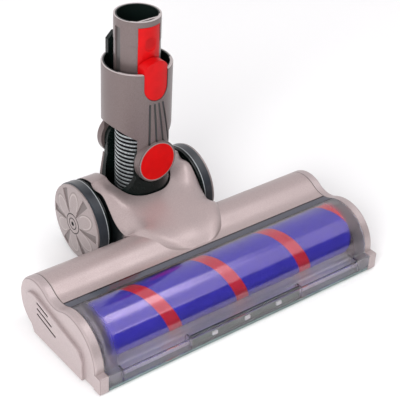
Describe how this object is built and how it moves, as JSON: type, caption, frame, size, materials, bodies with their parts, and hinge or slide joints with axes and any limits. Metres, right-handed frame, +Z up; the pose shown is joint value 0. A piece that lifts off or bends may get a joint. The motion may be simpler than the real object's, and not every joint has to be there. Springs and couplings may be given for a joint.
{
  "type": "vacuum floor brush head",
  "caption": "Motorised floor brush head for a stick vacuum, with a spinning pile roller under a clear cover, road wheels and a neck that tilts and rolls.",
  "frame": {"origin": "on the floor under the middle of the head's outline", "axes": "+X along the roller, -Y towards the front (roller) side, +Z up along the upright neck"},
  "size_m": [0.255, 0.171, 0.1877],
  "materials": {
    "taupe_plastic": "satin metallic",
    "hubcap_plastic": "satin metallic",
    "black_plastic": "gloss",
    "bush_plastic": "satin",
    "core_plastic": "satin",
    "smoke_clear": "clear gloss",
    "lip_rubber": "matte",
    "lamp_lens": "clear",
    "board_laminate": "matte",
    "violet_pile": "soft pile",
    "red_pile": "soft pile",
    "sole_pile": "soft pile",
    "steel": "ground",
    "belt_rubber": "matte",
    "tyre_rubber": "satin",
    "hose_rubber": "satin",
    "red_plastic": "gloss",
    "contact_brass": "bright"
  },
  "bodies": {
    "head": {"upper_housing": "taupe_plastic", "lower_chassis": "black_plastic", "duct_lid": "black_plastic", "left_end_cap": "taupe_plastic", "right_end_cap": "taupe_plastic", "clear_cover": "smoke_clear", "front_lip": "lip_rubber", "front_lights": "lamp_lens", "light_board": "board_laminate", "drive_bearing": "steel", "end_bearing": "steel", "drive_motor": "steel", "drive_belt": "belt_rubber", "control_board": "board_laminate", "left_axle": "steel", "right_axle": "steel", "left_bush": "bush_plastic", "right_bush": "bush_plastic", "sole_roller_pins": "steel", "sole_strip": "sole_pile", "sole_screws": "steel"},
    "brush_roller": {"roller_plush": "violet_pile", "roller_stripe": "red_pile", "roller_core": "core_plastic", "roller_pulley": "core_plastic"},
    "motor_shaft": {"motor_pulley": "steel"},
    "left_wheel": {"left_tyre": "tyre_rubber", "left_hub": "black_plastic", "left_hubcap": "hubcap_plastic"},
    "right_wheel": {"right_tyre": "tyre_rubber", "right_hub": "black_plastic", "right_hubcap": "hubcap_plastic"},
    "left_sole_wheel": {"left_sole_roller": "black_plastic"},
    "right_sole_wheel": {"right_sole_roller": "black_plastic"},
    "tilt_yoke": {"yoke": "black_plastic", "yoke_rear_cover": "taupe_plastic", "hose_foot_cuff": "black_plastic", "hose": "hose_rubber"},
    "neck": {"collar": "taupe_plastic", "spigot": "taupe_plastic", "hose_top_cuff": "black_plastic", "plug_block": "black_plastic", "plug_contacts": "contact_brass", "front_pivot_cap": "red_plastic", "rear_pivot_cap": "taupe_plastic", "front_pivot_pin": "steel", "rear_pivot_pin": "steel", "button_pin": "steel", "button_spring": "steel"},
    "button": {"release_button": "red_plastic"}
  },
  "joints": [
    {"name": "roller_spin", "type": "hinge", "parent": "head", "child": "brush_roller", "pos_m": [0, -0.0493, 0.0207], "axis": [1, 0, 0], "continuous": true},
    {"name": "motor_spin", "type": "hinge", "parent": "head", "child": "motor_shaft", "pos_m": [-0.115, -0.004, 0.0245], "axis": [1, 0, 0], "continuous": true},
    {"name": "left_wheel_spin", "type": "hinge", "parent": "head", "child": "left_wheel", "pos_m": [-0.048, 0.0547, 0.0308], "axis": [1, 0, 0], "continuous": true},
    {"name": "right_wheel_spin", "type": "hinge", "parent": "head", "child": "right_wheel", "pos_m": [0.048, 0.0547, 0.0308], "axis": [1, 0, 0], "continuous": true},
    {"name": "left_sole_spin", "type": "hinge", "parent": "head", "child": "left_sole_wheel", "pos_m": [-0.075, -0.019, 0.0055], "axis": [1, 0, 0], "continuous": true},
    {"name": "right_sole_spin", "type": "hinge", "parent": "head", "child": "right_sole_wheel", "pos_m": [0.075, -0.019, 0.0055], "axis": [1, 0, 0], "continuous": true},
    {"name": "neck_pitch", "type": "hinge", "parent": "head", "child": "tilt_yoke", "pos_m": [0, 0.0547, 0.0308], "axis": [-1, 0, 0], "range_deg": [0, 80]},
    {"name": "neck_roll", "type": "hinge", "parent": "tilt_yoke", "child": "neck", "pos_m": [0, 0.0547, 0.08], "axis": [0, 1, 0], "range_deg": [-45, 45], "deforming": ["hose"]},
    {"name": "button_press", "type": "hinge", "parent": "neck", "child": "button", "pos_m": [0, 0.03602, 0.1345], "axis": [-1, 0, 0], "range_deg": [0, 1.6], "stiffness_Nm_per_rad": 1, "springref_deg": -2.29, "deforming": ["button_spring"]}
  ],
  "couplings": [
    {"joint": "motor_spin", "follows": "roller_spin", "ratio": 2.2}
  ]
}
